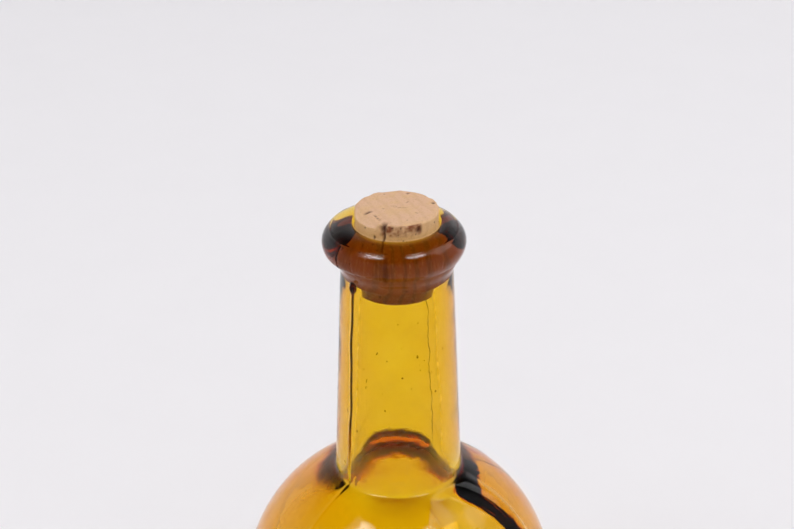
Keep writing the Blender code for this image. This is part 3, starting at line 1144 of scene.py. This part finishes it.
def top_pits(chance):
    """The top's pits, the photographed ones and the scattered ones."""
    pits = list(TOP_PITS)
    for _ in range(SCATTERED_TOP_PITS):
        away, angle = SCATTERED_TOP_RADIUS * math.sqrt(chance.random()), chance.uniform(0, math.tau)
        width = chance.choice(SCATTERED_TOP_WIDTHS)
        length = width * SCATTERED_TOP_LENGTHENING
        x, y = away * math.cos(angle), away * math.sin(angle)
        pits.append((x, y, length, width, chance.uniform(0, 180)))
    return pits


def side_pits(chance):
    """The side's pits, the photographed ones and the scattered ones."""
    pits = list(SIDE_PITS)
    for _ in range(SCATTERED_SIDE_PITS):
        width = chance.choice(SCATTERED_SIDE_WIDTHS)
        azimuth, height = chance.uniform(-180, 180), chance.uniform(*SCATTERED_SIDE_HEIGHTS)
        pits.append((azimuth, height, width, width * chance.uniform(*SCATTERED_SIDE_LENGTHENING)))
    return pits


def cork_marks(bottle, points):
    """How deep each point of the cork is worn or pitted, and how dark and stained it is."""
    store = {name: np.zeros(len(points)) for name in ("depth", "pit", "stain")}
    chance = random.Random(5)
    radius, height = from_axis(points), points[:, 2]
    turn = np.degrees(azimuths(points))
    top = (height > CORK_HIGH.z - TOP_DEPTH) & (radius < bottle.cork_top_radius - CORK_CHAMFER / 2)
    side = ~top & (radius > bottle.cork_radius(CORK_LOW.z) - CORK_CHAMFER)
    for x, y, length, width, angle in top_pits(chance):
        offset = points[:, :2] / MM - (x, y)
        tilt = math.radians(angle)
        along = offset @ (math.cos(tilt), math.sin(tilt))
        across = offset @ (-math.sin(tilt), math.cos(tilt))
        hollow = bump(np.hypot(along / length, across / width))
        mark(store, hollow[top], top, TOP_PIT_DEPTH, TOP_PIT_DARKNESS)
    for azimuth, level, width, length in side_pits(chance):
        across = turned_to(np.radians(turn - azimuth)) * radius / MM
        along = height / MM - level
        hollow = bump(np.hypot(across / width, along / length))
        mark(store, hollow[side], side, SIDE_PIT_DEPTH, SIDE_PIT_DARKNESS)
    mark(store, crack(bottle, points), slice(None), CORK_CRACK_DEPTH, 1.0)
    low_turn, high_turn, low, high = SIDE_STAIN
    patch = smooth((turn - low_turn) / STAIN_TURN_FADES[0])
    patch *= smooth((high_turn - turn) / STAIN_TURN_FADES[1])
    patch *= smooth((height / MM - low) / STAIN_HEIGHT_FADES[0])
    patch *= smooth((high - height / MM) / STAIN_HEIGHT_FADES[1])
    ragged = 0.5 + sum(strength * waves(points, size, seed) for strength, size, seed in STAIN_PATCHES)
    store["stain"] = np.clip(patch * ragged * side, 0, 1)
    return store


def crack(bottle, points):
    """How far each point sinks with the crack that runs down the side, as a share of its depth."""
    radius, below_top = from_axis(points), points[:, 2] - CORK_HIGH.z
    wander = sum(reach * np.sin(points[:, 2] / length) for reach, length in CORK_CRACK_WANDER)
    notch = CORK_NOTCH_HALF_WIDTH * smooth((below_top + CORK_NOTCH_LENGTH) / CORK_NOTCH_FADE)
    across = (azimuths(points) - math.radians(CORK_CRACK)) * radius - wander
    ends = smooth((below_top + CORK_CRACK_LENGTH) / CORK_CRACK_FADE)
    inward = smooth((radius - bottle.cork_top_radius + CORK_CRACK_REACH) / CORK_CRACK_REACH_FADE)
    return bump(across / (CORK_CRACK_HALF_WIDTH + notch)) * ends * inward


def wear_cork(bottle, points, normals):
    """Moves the cork's skin to its pared edge, squeezed length, worn edges, pits and crack."""
    store = cork_marks(bottle, points)
    radius, height = from_axis(points), points[:, 2]
    turn = np.degrees(azimuths(points))
    reach = bottle.cork_top_radius - CORK_BEVEL_TOP
    slope = np.array([CORK_BEVEL_DROP, reach]) / math.hypot(CORK_BEVEL_DROP, reach)
    over = (radius - CORK_BEVEL_TOP) * slope[0] + (height - CORK_HIGH.z) * slope[1]
    over += CORK_BEVEL_RAGGED * waves(points, CORK_BEVEL_SPACING, 8)
    ends = smooth((turn - CORK_BEVEL[0]) / CORK_BEVEL_FADES[0])
    ends *= smooth((CORK_BEVEL[1] - turn) / CORK_BEVEL_FADES[1])
    cut = np.clip(over, 0, None) * ends
    outward = points[:, :2] / np.maximum(radius, 1e-6)[:, None]
    moved = points.copy()
    moved[:, :2] -= outward * (cut * slope[0])[:, None]
    moved[:, 2] -= cut * slope[1]
    # The neck squeezes the cork's upper part, so there the soft cork lies against the glass
    gripped = smooth((bottle.crest - height) / CORK_GRIP_TOP_FADE)
    gripped *= smooth((height - bottle.crest + CORK_GRIP_LENGTH) / CORK_GRIP_FOOT_FADE)
    gripped *= radius > CORK_GRIP_RADIUS
    moved[:, :2] += outward * (CORK_SWELL * gripped)[:, None]
    # The rest of the edge is crumbled, more in some places than in others
    corner = np.hypot(radius - bottle.cork_top_radius, height - CORK_HIGH.z)
    crumble = smooth(1 - corner / CRUMBLE_REACH)
    crumble *= np.clip(CRUMBLE_SHARES[0] + CRUMBLE_SHARES[1] * waves(points, CRUMBLE_SPACING, 3), 0, 1)
    free = 1 - gripped
    lumps = free * sum(proud * waves(points, size, seed) for proud, size, seed in CORK_LUMPS)
    lumps -= CRUMBLE_DEPTH * crumble
    within = smooth((height - CORK_LOW.z) / CORK_FOOT_FADE)
    return moved + normals * (lumps * within - store["depth"] * free)[:, None], store


def make_cork_mesh(sizes):
    bottle = Bottle(sizes)
    piece = lathe("tapered_cork", cork_outline(bottle), CORK_TURNS)
    mesh = piece.data
    places = read_vectors(mesh.vertices, "co")
    points, store = wear_cork(bottle, places, read_vectors(mesh.vertex_normals, "vector"))
    set_coordinates(mesh, points)
    for name in ("pit", "stain"):
        write_attribute(mesh, name, store[name])
    mesh.shade_smooth()
    return piece


# Between these heights under the lip's crest the cork goes from its painted shade within the neck to its
# dry tone
NECK_SHADE_FADE = (BOTTLE_HIGH.z - 3.5 * MM, BOTTLE_HIGH.z - 0.5 * MM)
# A wave texture of scale 1 has its bands this far apart
WAVE_BAND = 0.314
GROWTH_SPACING = 2.8 * MM


def cork_colour(tree, finish, place):
    """The cork's colour: paler where it is cut across, with growth lines, pores, pits, a stain and
    painted shade within the neck.
    """
    spot = place.outputs["Object"]
    # The sawn top faces up, and the turned side faces out
    geometry = add_node(tree, "ShaderNodeNewGeometry")
    facing = add_node(tree, "ShaderNodeSeparateXYZ", inputs={0: geometry.outputs["Normal"]})
    upward = add_node(tree, "ShaderNodeMapRange", EASED, {"Value": facing.outputs[2], 1: 0.5, 2: 0.9})
    # Patches some 4 mm across lean to the other tone
    patches = add_node(
        tree, "ShaderNodeTexNoise", inputs={"Vector": spot, "Scale": 1 / (4 * MM), "Detail": 3.0}
    )
    lean = add_node(
        tree,
        "ShaderNodeMapRange",
        EASED,
        {"Value": patches.outputs["Fac"], 1: 0.42, 2: 0.68, 3: 1.0, 4: 0.35},
    )
    tone = add_node(tree, "ShaderNodeMath", PRODUCT, {0: upward.outputs[0], 1: lean.outputs[0]})
    dry = add_node(
        tree, "ShaderNodeMix", COLOURS, {0: tone.outputs[0], 6: srgb(finish.side), 7: srgb(finish.cut)}
    )
    # Painted shade: below the lip's crest the cork is darkened, as little light reaches it within the
    # neck
    level = add_node(tree, "ShaderNodeSeparateXYZ", inputs={0: spot})
    darker_tone = add_node(
        tree,
        "ShaderNodeMapRange",
        EASED,
        {"Value": level.outputs[2], 1: NECK_SHADE_FADE[0], 2: NECK_SHADE_FADE[1], 3: 0.9, 4: 0.0},
    )
    # Growth lines lie across the cork as bent sheets
    lines = add_node(
        tree,
        "ShaderNodeTexWave",
        {"wave_type": "BANDS", "bands_direction": "X"},
        {
            "Vector": spot,
            "Scale": WAVE_BAND / GROWTH_SPACING,
            "Distortion": 14.0,
            "Detail": 3.0,
            "Detail Scale": 0.35,
        },
    )
    sheets = add_node(
        tree,
        "ShaderNodeMapRange",
        EASED,
        {"Value": lines.outputs["Fac"], 1: 0.62, 2: 0.95, 3: 0.0, 4: 0.16},
    )
    # They show more in the painted shade within the neck
    streaks = add_node(
        tree,
        "ShaderNodeMapRange",
        EASED,
        {"Value": lines.outputs["Fac"], 1: 0.55, 2: 0.95, 3: 0.0, 4: 0.5},
    )
    neck_shade_colour = add_node(
        tree, "ShaderNodeMix", COLOURS, {0: streaks.outputs[0], 6: srgb(finish.darker_tone), 7: srgb(finish.pit)}
    )
    # Cells in lumps 0.5 mm across, some darker
    cells = add_node(
        tree,
        "ShaderNodeTexNoise",
        inputs={"Vector": spot, "Scale": 1 / (0.5 * MM), "Detail": 5.0, "Roughness": 0.7},
    )
    speckle = add_node(
        tree,
        "ShaderNodeMapRange",
        EASED,
        {"Value": cells.outputs["Fac"], 1: 0.5, 2: 0.72, 3: 0.0, 4: 0.5},
    )
    # Pores under 0.2 mm wide, where fine noise peaks
    pores = add_node(
        tree,
        "ShaderNodeTexNoise",
        inputs={"Vector": spot, "Scale": 1 / (0.28 * MM), "Detail": 2.0, "Roughness": 0.4},
    )
    dots = add_node(
        tree,
        "ShaderNodeMapRange",
        EASED,
        {"Value": pores.outputs["Fac"], 1: 0.7, 2: 0.76, 3: 0.0, 4: 0.6},
    )
    stain = add_node(tree, "ShaderNodeAttribute", {"attribute_name": "stain"})
    pit = add_node(tree, "ShaderNodeAttribute", {"attribute_name": "pit"})
    # Each of these covers what lies under it by its share
    colour = dry
    for share, cover in (
        (sheets.outputs[0], srgb(finish.growth)),
        (darker_tone.outputs[0], neck_shade_colour.outputs[2]),
        (speckle.outputs[0], srgb(finish.growth)),
        (dots.outputs[0], srgb(finish.pit)),
        (stain.outputs["Fac"], srgb(finish.stain)),
        (pit.outputs["Fac"], srgb(finish.pit)),
    ):
        colour = add_node(tree, "ShaderNodeMix", COLOURS, {0: share, 6: colour.outputs[2], 7: cover})
    return colour, cells, dots


def cork_material(finish):
    """Natural cork, cut and dry: matt and warm tan, pitted dark where the bark breathed, and darkened
    with painted shade within the neck.
    """
    material, tree, output = new_material("natural_cork")
    place = add_node(tree, "ShaderNodeTexCoord")
    colour, cells, dots = cork_colour(tree, finish, place)
    roughness = add_node(
        tree,
        "ShaderNodeMapRange",
        EASED,
        {"Value": cells.outputs["Fac"], 1: 0.3, 2: 0.7, 3: 0.78, 4: 0.96},
    )
    lumps = add_node(
        tree,
        "ShaderNodeBump",
        inputs={"Strength": 0.6, "Distance": 0.12 * MM, "Height": cells.outputs["Fac"]},
    )
    holes = add_node(
        tree,
        "ShaderNodeBump",
        {"invert": True},
        {"Strength": 0.8, "Distance": 0.1 * MM, "Height": dots.outputs[0], "Normal": lumps.outputs[0]},
    )
    cork = add_node(
        tree,
        "ShaderNodeBsdfPrincipled",
        inputs={
            "Base Color": colour.outputs[2],
            "Roughness": roughness.outputs[0],
            "Normal": holes.outputs[0],
            "IOR": 1.4,
        },
    )
    tree.links.new(cork.outputs[0], output.inputs["Surface"])
    return material


class BOTTLE_OT_glass(bpy.types.Operator):
    """Make the moulded glass bottle"""

    bl_idname = "bottle.glass"
    bl_label = "Glass Bottle"

    def execute(self, context):
        piece = make_glass_mesh(context.scene.bottle_sizes)
        piece.data.materials.append(glass_material(context.scene.bottle_finish))
        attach(piece, "bottle")
        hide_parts("glass_bottle")
        return {"FINISHED"}


class BOTTLE_OT_seeds(bpy.types.Operator):
    """Make the gas seeds in the glass"""

    bl_idname = "bottle.seeds"
    bl_label = "Gas Seeds"

    def execute(self, context):
        piece = make_seeds(context.scene.bottle_sizes)
        piece.data.materials.append(seed_material(context.scene.bottle_finish))
        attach(piece, "bottle")
        return {"FINISHED"}


class BOTTLE_OT_cork(bpy.types.Operator):
    """Make the tapered cork"""

    bl_idname = "bottle.cork"
    bl_label = "Cork"

    def execute(self, context):
        piece = make_cork_mesh(context.scene.bottle_sizes)
        piece.data.materials.append(cork_material(context.scene.cork_finish))
        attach(piece, "cork")
        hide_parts("cork_stopper")
        return {"FINISHED"}


class BOTTLE_OT_studio(bpy.types.Operator):
    """Make the pale studio, its lights and the camera"""

    bl_idname = "bottle.studio"
    bl_label = "Studio"

    def execute(self, context):
        settings = context.scene.studio_settings
        make_floor(settings)
        make_world(settings)
        make_lights(settings)
        make_camera(settings, Bottle(context.scene.bottle_sizes))
        return {"FINISHED"}


# The studio's floor and room, in metres
FLOOR_SIZE = 8.0
# The paper fades into the surround between these distances from the bottle
FLOOR_FADE = (1.6, 3.2)
# Sines of the heights above the horizon between which the room grows dim: 15 and 45 degrees
ROOM_FADE = (0.25, 0.72)


def make_floor(settings):
    select_none()
    bpy.ops.mesh.primitive_plane_add(size=FLOOR_SIZE, location=(0, 0, 0))
    floor = bpy.context.object
    floor.name = "studio_floor"
    material, tree, output = new_material("matt_paper")
    place = add_node(tree, "ShaderNodeTexCoord")
    # The paper's tone wanders a little over some 30 mm
    fibres = add_node(
        tree,
        "ShaderNodeTexNoise",
        inputs={"Vector": place.outputs["Object"], "Scale": 1 / (30 * MM), "Detail": 2.0},
    )
    colour = add_node(
        tree,
        "ShaderNodeMix",
        COLOURS,
        {0: fibres.outputs["Fac"], 6: srgb(settings.paper), 7: srgb("#F3F1F4")},
    )
    paper = add_node(
        tree, "ShaderNodeBsdfPrincipled", inputs={"Base Color": colour.outputs[2], "Roughness": 0.95}
    )
    away = add_node(
        tree, "ShaderNodeVectorMath", {"operation": "LENGTH"}, {0: place.outputs["Object"]}
    )
    gone = add_node(
        tree,
        "ShaderNodeMapRange",
        EASED,
        {"Value": away.outputs["Value"], 1: FLOOR_FADE[0], 2: FLOOR_FADE[1]},
    )
    clear = add_node(tree, "ShaderNodeBsdfTransparent")
    mixed = add_node(
        tree,
        "ShaderNodeMixShader",
        inputs={0: gone.outputs[0], 1: paper.outputs[0], 2: clear.outputs[0]},
    )
    tree.links.new(mixed.outputs[0], output.inputs["Surface"])
    floor.data.materials.append(material)


def make_world(settings):
    """A surround that looks pale all over, and lights the bottle like a room that is dim overhead."""
    world = bpy.data.worlds.new("studio_surround")
    world.use_nodes = True
    tree = world.node_tree
    tree.nodes.clear()
    output = add_node(tree, "ShaderNodeOutputWorld")
    place = add_node(tree, "ShaderNodeTexCoord")
    parts = add_node(tree, "ShaderNodeSeparateXYZ", inputs={0: place.outputs["Generated"]})
    height = add_node(
        tree,
        "ShaderNodeMapRange",
        EASED,
        {"Value": parts.outputs[2], 1: ROOM_FADE[0], 2: ROOM_FADE[1], 3: 1.0, 4: settings.ceiling},
    )
    rays = add_node(tree, "ShaderNodeLightPath")
    strength = add_node(
        tree,
        "ShaderNodeMix",
        {"data_type": "FLOAT"},
        {0: rays.outputs["Is Camera Ray"], 2: height.outputs[0], 3: 1.0},
    )
    pale = add_node(
        tree,
        "ShaderNodeBackground",
        inputs={"Color": srgb(settings.background), "Strength": strength.outputs[0]},
    )
    tree.links.new(pale.outputs[0], output.inputs["Surface"])
    bpy.context.scene.world = world


# Each softbox: azimuth from the front and height in degrees, and width, height and distance in metres
SOFTBOXES = ((-84, 54, 1.5, 1.6, 3.2), (78, 42, 2.3, 2.1, 3.2))
GLINTS = ((-72, 60, 1.3, 0.9, 3.1), (33, 60, 1.2, 0.9, 3.1))
FILL = (-22, 80, 2.0, 2.0, 3.0)
# The softboxes face this point on the bottle's axis
LIGHT_TARGET = (0, 0, 0.1)
# A softbox's cloth fades between these distances from its middle, as shares of its width and height
CLOTH_FADE_ACROSS = (0.3, 0.5)
CLOTH_FADE_UP = (0.25, 0.5)


def make_area_light(name, place, radiance):
    """A rectangular softbox that faces the bottle, with the power for the brightness it should show."""
    azimuth, elevation, width, height, distance = place
    light = bpy.data.lights.new(name, "AREA")
    light.shape = "RECTANGLE"
    light.size = width
    light.size_y = height
    light.energy = radiance * math.pi * width * height
    light.use_nodes = True
    tree = light.node_tree
    # The cloth is brightest in the middle and fades towards its edges
    cloth = add_node(tree, "ShaderNodeNewGeometry")
    middle = add_node(
        tree,
        "ShaderNodeVectorMath",
        {"operation": "SUBTRACT"},
        {0: cloth.outputs["Parametric"], 1: (0.5, 0.5, 0)},
    )
    away = add_node(tree, "ShaderNodeVectorMath", {"operation": "ABSOLUTE"}, {0: middle.outputs[0]})
    sides = add_node(tree, "ShaderNodeSeparateXYZ", inputs={0: away.outputs[0]})
    across, up = [
        add_node(
            tree,
            "ShaderNodeMapRange",
            EASED,
            {"Value": sides.outputs[i], 1: fade[0], 2: fade[1], 3: 1.0, 4: 0.0},
        )
        for i, fade in enumerate((CLOTH_FADE_ACROSS, CLOTH_FADE_UP))
    ]
    glow = add_node(tree, "ShaderNodeMath", PRODUCT, {0: across.outputs[0], 1: up.outputs[0]})
    tree.links.new(glow.outputs[0], tree.nodes["Emission"].inputs["Strength"])
    softbox = bpy.data.objects.new(name, light)
    bpy.context.scene.collection.objects.link(softbox)
    turn = Matrix.Rotation(math.radians(azimuth), 4, "Z")
    tilt = Matrix.Rotation(math.radians(90 - elevation), 4, "X")
    aim = Matrix.Translation(LIGHT_TARGET) @ turn @ tilt
    softbox.matrix_world = aim @ Matrix.Translation((0, 0, distance))
    return softbox


def make_lights(settings):
    for i, place in enumerate(SOFTBOXES):
        make_area_light(f"softbox_{i}", place, settings.softbox_radiance)
    # The softboxes' brighter middles only show as glints, and put no more light on the bottle
    for i, place in enumerate(GLINTS):
        glint = make_area_light(f"glint_{i}", place, settings.glint_radiance)
        glint.visible_diffuse = False
        glint.visible_camera = False
    # The fill lights the cork and the paper from overhead, and shows in no reflection
    width, height, distance = FILL[2:]
    fill = make_area_light("fill", FILL, settings.fill * distance**2 / (width * height) * math.pi)
    fill.visible_glossy = False
    fill.visible_transmission = False
    fill.visible_camera = False


def make_camera(settings, bottle):
    """The photograph's camera, fitted to the ellipses of its lip, cork and neck."""
    turn = Matrix.Rotation(settings.camera_azimuth, 3, "Z")
    back = CAMERA_DISTANCE * math.cos(CAMERA_ELEVATION)
    rise = CAMERA_DISTANCE * math.sin(CAMERA_ELEVATION)
    place = Vector((0, 0, bottle.ring)) + turn @ Vector((0, -back, rise))
    pitch = CAMERA_ELEVATION + math.atan((IMAGE_MIDDLE_ROW - LIP_RING_ROW) / FOCAL_LENGTH_PIXELS)
    camera_data = bpy.data.cameras.new("photo_camera")
    camera_data.sensor_width = SENSOR_WIDTH_MM
    camera_data.lens = FOCAL_LENGTH_PIXELS * SENSOR_WIDTH_MM / IMAGE_WIDTH
    camera_data.clip_start = CAMERA_CLIP_START
    camera = bpy.data.objects.new("photo_camera", camera_data)
    bpy.context.scene.collection.objects.link(camera)
    facing = Matrix.Rotation(math.pi / 2 - pitch, 4, "X") @ Matrix.Rotation(CAMERA_ROLL, 4, "Z")
    camera.matrix_world = Matrix.Translation(place) @ turn.to_4x4() @ facing
    bpy.context.scene.camera = camera


class BOTTLE_PT_panel(bpy.types.Panel):
    """Sizes, colours and makers of the bottle"""

    bl_idname = "BOTTLE_PT_panel"
    bl_label = "Corked Bottle"
    bl_space_type = "VIEW_3D"
    bl_region_type = "UI"
    bl_category = "Bottle"

    def draw(self, context):
        for group in GROUPS:
            settings = getattr(context.scene, group)
            box = self.layout.box()
            for name in settings.__annotations__:
                box.prop(settings, name)
        for maker in ("bottle.glass", "bottle.seeds", "bottle.cork", "bottle.studio"):
            self.layout.operator(maker)


GROUPS = {
    "bottle_sizes": BottleSizes,
    "bottle_finish": BottleFinish,
    "cork_finish": CorkFinish,
    "studio_settings": StudioSettings,
}
CLASSES = (
    *GROUPS.values(),
    BOTTLE_OT_glass,
    BOTTLE_OT_seeds,
    BOTTLE_OT_cork,
    BOTTLE_OT_studio,
    BOTTLE_PT_panel,
)


def register():
    for each in CLASSES:
        bpy.utils.register_class(each)
    for name, group in GROUPS.items():
        setattr(bpy.types.Scene, name, bpy.props.PointerProperty(type=group))


def unregister():
    for name in GROUPS:
        delattr(bpy.types.Scene, name)
    for each in reversed(CLASSES):
        bpy.utils.unregister_class(each)


def main():
    register()
    bpy.context.scene.view_settings.view_transform = "Standard"
    bpy.ops.bottle.studio()
    bpy.ops.bottle.glass()
    bpy.ops.bottle.seeds()
    bpy.ops.bottle.cork()


if __name__ == "__main__":
    main()
